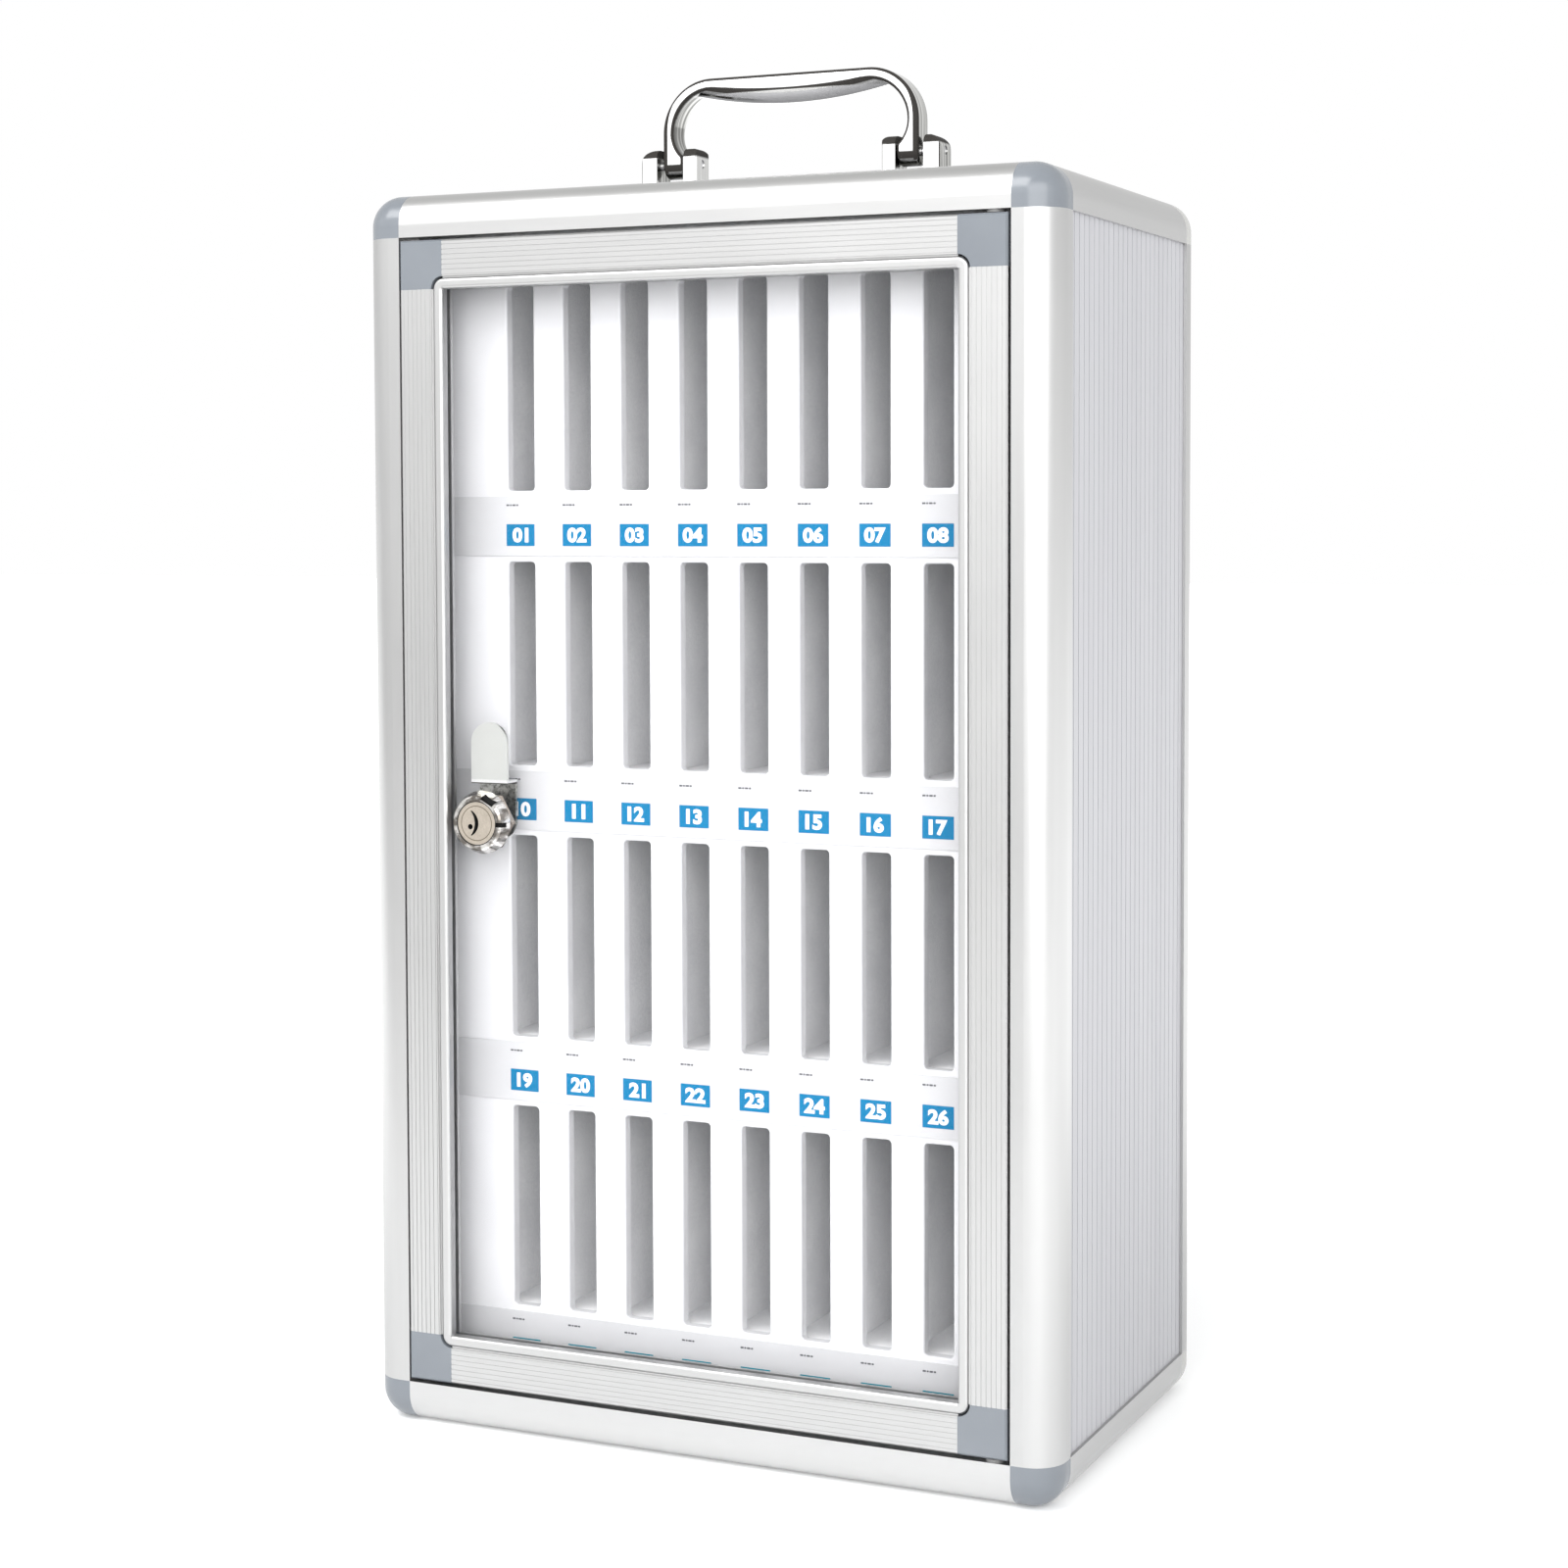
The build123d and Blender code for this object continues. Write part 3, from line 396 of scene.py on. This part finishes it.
def chrome_with_painted_reflections(name, half_depth, rim, crown=None):
    """Chrome with painted reflections: a dark line round each rim, grey bands between the rims and a
    bright front face.
    """
    finish = new_finish(name)
    low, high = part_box("handle_bail")
    out = abs(finish.along("Y") - (low.y + high.y) / 2)
    face = out.smooth_step(half_depth - 0.03 * mm, half_depth - 0.01 * mm)
    on_rim = out.smooth_step(half_depth - 0.75 * rim, half_depth - 0.50 * rim)
    beside_grip = abs(finish.along("X")).smooth_step(grip_half_length, grip_half_length + grip_taper)
    under_strap = high.z - strap_underside_drop
    over_grip = finish.along("Z").smooth_step(under_strap, under_strap + 0.5 * mm)
    grip = (1.0 - beside_grip) * (1.0 - over_grip)
    # Painted reflections: grey streaks on the sides and the grip, and a bright front face
    bands = finish.noise(430.0, 2.0, 0.5, (0.03, 1.0, 0.03))
    cloud = finish.noise(60.0, 2.0, 0.5)
    side_painted_reflections = finish.blend(bands.smooth_step(0.30, 0.70), (0.13, 0.13, 0.125), (0.58, 0.58, 0.56))
    grip_painted_reflections = finish.blend(bands * 0.6 + cloud * 0.4, (0.42, 0.42, 0.41), (0.82, 0.82, 0.81))
    flat_painted_reflections = finish.blend(grip, side_painted_reflections, grip_painted_reflections)
    # Painted dark reflection along the handle's outer edges, or on the brackets above their crown
    if crown is None:
        line = painted_edge_reflection(finish, out, half_depth, rim)
    else:
        line = finish.along("Z").smooth_step(crown - 0.5 * mm, crown + 0.8 * mm)
    # Painted dark reflection round each rim, off the grip and the front face; black and not metallic
    dark = (on_rim * (1.0 - grip) * (1.0 - face)).or_more(line)
    tone = finish.blend(face, flat_painted_reflections, (0.95, 0.95, 0.95))
    return finish.surface(
        base_color=finish.blend(dark, tone, painted_reflection_colour),
        specular_ior_level=0.03,
        metallic=1.0 - dark,
        roughness=0.10 + 0.05 * bands + 0.40 * dark,
        normal=finish.bump(wipe_marks(finish), 0.002 * mm, 0.4),
    )


def from_lock_centre(finish):
    """How far a point is across, upward and outward from the middle of the lock."""
    across = finish.along("X") - lock_centre.x
    upward = finish.along("Z") - lock_centre.z
    return across, upward, (across * across + upward * upward) ** 0.5


def blackened_mark(across, upward, angle, length, width):
    """1 within a mark that lies along the ring of marks at an angle, and 0 outside it."""
    cosine, sine = math.cos(math.radians(angle)), math.sin(math.radians(angle))
    outward = abs(across * cosine + upward * sine - lock_mark_ring)
    sideways = abs(upward * cosine - across * sine)
    beyond_width = outward.smooth_step(width / 2, width / 2 + lock_mark_blur)
    beyond_length = sideways.smooth_step(length / 2, length / 2 + lock_mark_blur)
    return (1.0 - beyond_width) * (1.0 - beyond_length)


def lock_head_chrome(name):
    """Chrome of the lock's head: broken reflections, blackened marks and a dark joint line."""
    finish = new_finish(name)
    across, upward, radius = from_lock_centre(finish)
    plug_low, plug_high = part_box("lock_plug")
    joint = (plug_high.x - plug_low.x) / 2 + plug_joint
    dark = 1.0 - radius.smooth_step(joint, joint + 0.15 * mm)
    for angle, length, width in lock_marks:
        dark = dark + blackened_mark(across, upward, angle, length, width)
    black = dark.smooth_step(0.2, 0.8)
    # Painted reflections: dark and bright patches in the chrome's colour
    patches = finish.noise(230.0, 3.0, 0.55, (1.0, 0.15, 1.0)).smooth_step(0.36, 0.60)
    tone = finish.blend(patches, (0.22, 0.20, 0.18), (0.93, 0.91, 0.88))
    return finish.surface(
        base_color=finish.blend(black, tone, (0.012, 0.012, 0.012)),
        specular_ior_level=0.03,
        metallic=1.0 - black,
        roughness=0.10 + 0.4 * dark,
    )


def lock_plug_nickel(name):
    """Warm worn nickel with fine speckles and a dark ring; the key slot and pin hole are painted
    black as shade.
    """
    finish = new_finish(name)
    depth = finish.along("Y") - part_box("lock_plug")[0].y
    # Painted shade: black in the key slot and pin hole
    slot = depth.smooth_step(0.15 * mm, 0.25 * mm)
    speckle = finish.noise(1100.0, 3.0, 0.65)
    cloud = finish.noise(160.0, 2.0, 0.5)
    across, upward, radius = from_lock_centre(finish)
    ring = 1.0 - abs(radius - plug_ring_radius).smooth_step(0.10 * mm, 0.30 * mm)
    tone = finish.blend(speckle * 0.6 + cloud * 0.4, (0.36, 0.31, 0.25), (0.74, 0.67, 0.585))
    tone = finish.blend(ring, tone, (0.20, 0.17, 0.13))
    return finish.surface(
        base_color=finish.blend(slot, tone, (0.01, 0.01, 0.01)),
        metallic=1.0 - 0.9 * slot,
        roughness=0.26 + 0.12 * speckle + 0.4 * slot,
        normal=finish.bump(speckle, 0.01 * mm, 0.5),
    )


def cam_steel(name):
    """Zinc-plated cam: a painted shadow, dark and mottled, at its root, a painted shade line under a
    painted highlight line at its crank, and a pale tip.
    """
    finish = new_finish(name)
    height = finish.along("Z") - (lock_centre.z + cam_crank_height)
    mottle = finish.noise(420.0, 3.0, 0.6)
    # Painted shadow at the cam's root, dark and mottled
    root = finish.blend(mottle.smooth_step(0.35, 0.65), (0.11, 0.11, 0.10), (0.50, 0.50, 0.47))
    tip = finish.blend(mottle, (0.72, 0.73, 0.70), (0.78, 0.79, 0.76))
    # Painted shade and highlight at the crank: a dark line under a bright one
    bright = height.smooth_step(0.3 * mm, 0.6 * mm)
    crank = finish.blend(bright, (0.10, 0.10, 0.09), (0.95, 0.95, 0.94))
    over_crank = height.smooth_step(1.5 * mm, 2.1 * mm)
    over_root = height.smooth_step(-0.5 * mm, -0.3 * mm)
    tone = finish.blend(over_root, root, finish.blend(over_crank, crank, tip))
    return finish.surface(base_color=tone, metallic=1.0, roughness=0.30 + 0.04 * mottle)


def plated_metal(name, tone):
    """Bright plating with smudges and fine wipe marks."""
    finish = new_finish(name)
    smears = finish.noise(60.0, 4.0, 0.6)
    wipes = wipe_marks(finish)
    warm = tuple(part * 0.93 for part in tone)
    return finish.surface(
        base_color=finish.blend(smears, warm, tone),
        metallic=1.0,
        roughness=0.24 + 0.10 * smears ** 2.0 + 0.04 * wipes,
        normal=finish.bump(wipes, 0.002 * mm, 0.4),
    )


def profile_finishes():
    """Satin aluminium by name, for each direction of the profiles: axis, tone and gloss."""
    # The tones differ as painted light and shade: copies of one aluminium, each made lighter or
    # darker for the light it catches, the front posts darker against their highlight
    profiles = {
        "frame_X": ("X", 0.52, 0.28),
        "frame_Z": ("Z", 0.475, 0.30),
        "door_X": ("X", 0.48, 0.32),
        "door_Z": ("Z", 0.48, 0.32),
        "frame_Y": ("Y", 0.48, 0.32),
        "frame_rear": ("Z", 0.43, 0.32),
    }
    return {name: extruded_aluminium(name, *values) for name, values in profiles.items()}


def moulding_finishes():
    """Plastics by name: darker tone, paler tone and gloss."""
    mouldings = {
        "corner_grey": ((0.125, 0.138, 0.156), (0.165, 0.18, 0.198), 0.18),
        "corner_silver": ((0.33, 0.33, 0.32), (0.39, 0.39, 0.375), 0.24),
        "rack_white": ((0.59, 0.59, 0.605), (0.64, 0.64, 0.65), 0.42),
        "nylon": ((0.10, 0.10, 0.10), (0.14, 0.14, 0.14), 0.45),
    }
    return {name: moulded_plastic(name, *values) for name, values in mouldings.items()}


def film_finishes():
    """Prints and films by name and colour."""
    films = {
        "strip_white": (0.52, 0.52, 0.53),
        "label_blue": (0.0, 0.148, 0.31),
        "label_teal": (0.0, 0.19, 0.26),
        "digit_white": (0.80, 0.80, 0.80),
        "mark_grey": (0.11, 0.11, 0.12),
    }
    return {name: printed_film(name, colour) for name, colour in films.items()}


def make_finishes():
    """All finishes of the cabinet by name."""
    finishes = profile_finishes() | moulding_finishes() | film_finishes()
    finishes["panel_side"] = panel_laminate("panel_side", "Y")
    finishes["panel_wide"] = panel_laminate("panel_wide", "X")
    finishes["divider_grey"] = divider_sheet("divider_grey")
    finishes["acrylic"] = clear_acrylic("acrylic")
    finishes["handle_chrome"] = chrome_with_painted_reflections("handle_chrome", handle_half_depth, handle_rim)
    finishes["bracket_chrome"] = chrome_with_painted_reflections(
        "bracket_chrome", bracket_half_depth, bracket_rim, bracket_crown
    )
    finishes["nickel"] = plated_metal("nickel", (0.56, 0.48, 0.41))
    finishes["steel"] = plated_metal("steel", (0.62, 0.62, 0.63))
    finishes["cam_steel"] = cam_steel("cam_steel")
    finishes["lock_chrome"] = lock_head_chrome("lock_chrome")
    finishes["plug_nickel"] = lock_plug_nickel("plug_nickel")
    return finishes


def finish_of(node):
    """Name of the finish that a node of the construction takes."""
    if node.startswith("post_"):
        return "frame_Z" if "_front_" in node else "frame_rear"
    if node.startswith("rail_"):
        return "frame_X" if node.endswith(("front", "rear")) else "frame_Y"
    if node.startswith("corner_"):
        return "corner_grey" if "_front_" in node else "corner_silver"
    if node.startswith("panel_"):
        return "panel_side" if node.endswith(("left", "right")) else "panel_wide"
    by_start = {
        "door_corner": "corner_grey",
        "door_stile": "door_Z",
        "door_rail": "door_X",
        "door_window": "acrylic",
        "slot_board": "rack_white",
        "dividers": "divider_grey",
        "shelves": "divider_grey",
        "label_strip": "strip_white",
        "hinge_pins": "steel",
        "hinge_bushes": "nylon",
        "lock_housing": "lock_chrome",
        "lock_plug": "plug_nickel",
        "lock_nut": "nickel",
        "lock_cam_screw": "nickel",
        "lock_cam": "cam_steel",
        "handle_bail": "handle_chrome",
        "handle_bracket": "bracket_chrome",
        "handle_pins": "steel",
        "handle_screws": "nickel",
    }
    return next(finish for start, finish in by_start.items() if node.startswith(start))


def dress_construction(finishes):
    """Give every node of the construction its finish."""
    for name, node in nodes.items():
        material = finishes[finish_of(name)]
        for slot in node.material_slots:
            slot.material = material


def deselect_all():
    """Leave nothing selected."""
    bpy.ops.object.select_all(action="DESELECT")


def settle(piece):
    """Put a piece's place, turn and size into its mesh."""
    deselect_all()
    piece.select_set(True)
    bpy.context.view_layer.objects.active = piece
    bpy.ops.object.transform_apply(location=True, rotation=True, scale=True)


def joined(pieces, name):
    """One piece made of several."""
    deselect_all()
    for piece in pieces:
        piece.select_set(True)
    bpy.context.view_layer.objects.active = pieces[0]
    bpy.ops.object.join()
    result = bpy.context.view_layer.objects.active
    result.name = name
    result.data.name = name
    return result


def wear(piece, finish, body):
    """Give a new piece its finish and body."""
    piece.data.materials.clear()
    piece.data.materials.append(finish)
    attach(piece, body)


def printed_patch(centre, width, height, corner):
    """Thin raised print, facing the door, with its corners rounded."""
    deselect_all()
    bpy.ops.mesh.primitive_cube_add(size=1.0, location=centre)
    patch = bpy.context.active_object
    patch.scale = (width, print_thickness, height)
    settle(patch)
    bpy.ops.object.mode_set(mode="EDIT")
    bpy.ops.mesh.select_mode(type="EDGE")
    bpy.ops.mesh.select_all(action="DESELECT")
    bpy.ops.object.mode_set(mode="OBJECT")
    for edge in patch.data.edges:
        start, end = (patch.data.vertices[index].co for index in edge.vertices)
        edge.select = abs(start.y - end.y) > print_thickness / 2
    bpy.ops.object.mode_set(mode="EDIT")
    bpy.ops.mesh.bevel(offset=corner, segments=3, affect="EDGES")
    bpy.ops.object.mode_set(mode="OBJECT")
    return patch


def number_text(number, centre):
    """A two-digit number as a raised print, facing the door."""
    deselect_all()
    bpy.ops.object.text_add(location=(0.0, 0.0, 0.0))
    text = bpy.context.active_object
    text.data.body = f"{number:02d}"
    text.data.size = 1.0
    text.data.align_x = "CENTER"
    text.data.offset = digit_boldness
    text.data.resolution_u = 4
    text.data.extrude = print_thickness / 2
    bpy.ops.object.convert(target="MESH")
    digits = bpy.context.active_object
    low = Vector(map(min, *(vertex.co for vertex in digits.data.vertices)))
    high = Vector(map(max, *(vertex.co for vertex in digits.data.vertices)))
    middle = (low + high) / 2
    scale = digit_height / (high.y - low.y)
    shape = Matrix.Diagonal((scale * digit_stretch, scale, 1.0, 1.0))
    upright = Matrix.Rotation(math.radians(90.0), 4, "X")
    move = Matrix.Translation(centre)
    digits.data.transform(move @ upright @ shape @ Matrix.Translation(-middle))
    return digits


def column_centre(column):
    """Sideways place of a column of slots."""
    low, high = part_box("dividers_1")
    return (low.x + high.x) / 2 + (column - (column_count - 1) / 2) * column_pitch


def label_row(row, finishes):
    """Blue number labels and small writing marks on one label strip."""
    strip_low, strip_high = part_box(f"label_strip_{row}")
    print_depth = strip_low.y - print_thickness / 2
    label_middle = strip_high.z - label_below_strip_top - label_height / 2
    mark_middle = strip_high.z - writing_mark_below_strip_top - writing_mark_height / 2
    in_front = Vector((0.0, -print_thickness, 0.0))
    patches, numbers, marks = [], [], []
    for column in range(column_count):
        x = column_centre(column)
        centre = Vector((x, print_depth, label_middle))
        patches.append(printed_patch(centre, label_width, label_height, label_corner))
        numbers.append(number_text((row - 1) * column_count + column + 1, centre + in_front))
        left = x - label_width / 2
        for dash in writing_mark_dashes:
            place = Vector((left + dash / 2, print_depth, mark_middle))
            marks.append(printed_patch(place, dash, writing_mark_height, writing_mark_height / 4))
            left += dash + writing_mark_gap
    blue = finishes["label_teal" if row == row_count else "label_blue"]
    wear(joined(patches, f"number_labels_{row}"), blue, "cabinet")
    wear(joined(numbers, f"numbers_{row}"), finishes["digit_white"], "cabinet")
    wear(joined(marks, f"writing_marks_{row}"), finishes["mark_grey"], "cabinet")


def camera_axes():
    """Right, up and backward axes of the camera."""
    turn, dip, roll = camera_turn, camera_dip, camera_roll
    ahead = Vector((-math.sin(turn) * math.cos(dip), math.cos(turn) * math.cos(dip), -math.sin(dip)))
    level_right = Vector((math.cos(turn), math.sin(turn), 0.0))
    level_up = level_right.cross(ahead)
    right = math.cos(roll) * level_right + math.sin(roll) * level_up
    up = -math.sin(roll) * level_right + math.cos(roll) * level_up
    return Matrix((right, up, -ahead)).transposed()


def place_camera():
    """Camera at the photograph's place, angle and framing."""
    data = bpy.data.cameras.new("camera")
    data.sensor_width = sensor_width
    data.lens = focal_length_in_pixels / picture_width * sensor_width
    data.shift_y = (optical_centre_row - picture_width / 2) / picture_width
    data.clip_start = 0.01
    data.clip_end = 100.0
    camera = bpy.data.objects.new("camera", data)
    bpy.context.scene.collection.objects.link(camera)
    camera.matrix_world = Matrix.Translation(camera_place) @ camera_axes().to_4x4()
    bpy.context.scene.camera = camera


def soft_box(name, place, size, power):
    """White rectangular studio light, turned to the object."""
    data = bpy.data.lights.new(name, "AREA")
    data.shape = "RECTANGLE"
    data.size, data.size_y = size
    data.energy = power
    light = bpy.data.objects.new(name, data)
    bpy.context.scene.collection.objects.link(light)
    light.location = place
    direction = Vector(light_target) - Vector(place)
    light.rotation_euler = direction.to_track_quat("-Z", "Y").to_euler()


def studio_world():
    """White room: a grey ceiling for dark lines in chrome, and a brighter wall in front."""
    world = bpy.data.worlds.new("studio")
    bpy.context.scene.world = world
    room = Finish(world)
    direction = room.node("ShaderNodeTexCoord", output="Generated")
    height = room.part_of(direction, "Z")
    ceiling = height.smooth_step(ceiling_start, ceiling_full)
    front = (-room.part_of(direction, "Y")).smooth_step(0.0, wall_turn_to_front)
    wall = room.blend(height.smooth_step(wall_low, wall_high), front_wall_colour, upper_wall_colour)
    tone = room.blend(front * (1.0 - ceiling), room.blend(ceiling, white, ceiling_colour), wall)
    background = room.node("ShaderNodeBackground", None, (tone, room_strength))
    room.node("ShaderNodeOutputWorld", None, {"Surface": background})


def floor_finish():
    """Pale floor that glows away from the object, and is greyer and unlit far in front of it."""
    finish = new_finish("floor")
    cloud = finish.noise(3.0, 2.0, 0.5)
    distance = finish.node("ShaderNodeVectorMath", {"operation": "LENGTH"}, (finish.place(),), 1)
    forward = (-finish.along("Y")).smooth_step(front_floor_start, front_floor_full)
    glow = finish.blend(distance.smooth_step(glow_start, glow_full), near_glow, white)
    pale = finish.blend(cloud, (0.84, 0.845, 0.85), (0.86, 0.865, 0.87))
    return finish.surface(
        base_color=finish.blend(forward, pale, front_floor_colour),
        roughness=0.75,
        emission_color=finish.blend(forward, glow, unlit),
        emission_strength=floor_glow,
    )


def studio_floor():
    """Plain floor, just under the object."""
    deselect_all()
    place = (0.0, 0.0, cad_low.z - floor_below_object)
    bpy.ops.mesh.primitive_plane_add(size=floor_size, location=place)
    floor = bpy.context.active_object
    floor.name = "floor"
    floor.data.materials.append(floor_finish())


def light_studio():
    """World, floor and soft boxes."""
    studio_world()
    studio_floor()
    soft_box("key", key_place, key_size, key_power)
    soft_box("fill", fill_place, fill_size, fill_power)
    view = bpy.context.scene.view_settings
    view.view_transform = "Standard"
    view.look = "None"


place_camera()
finishes = make_finishes()
dress_construction(finishes)
for row in range(1, row_count + 1):
    label_row(row, finishes)
light_studio()
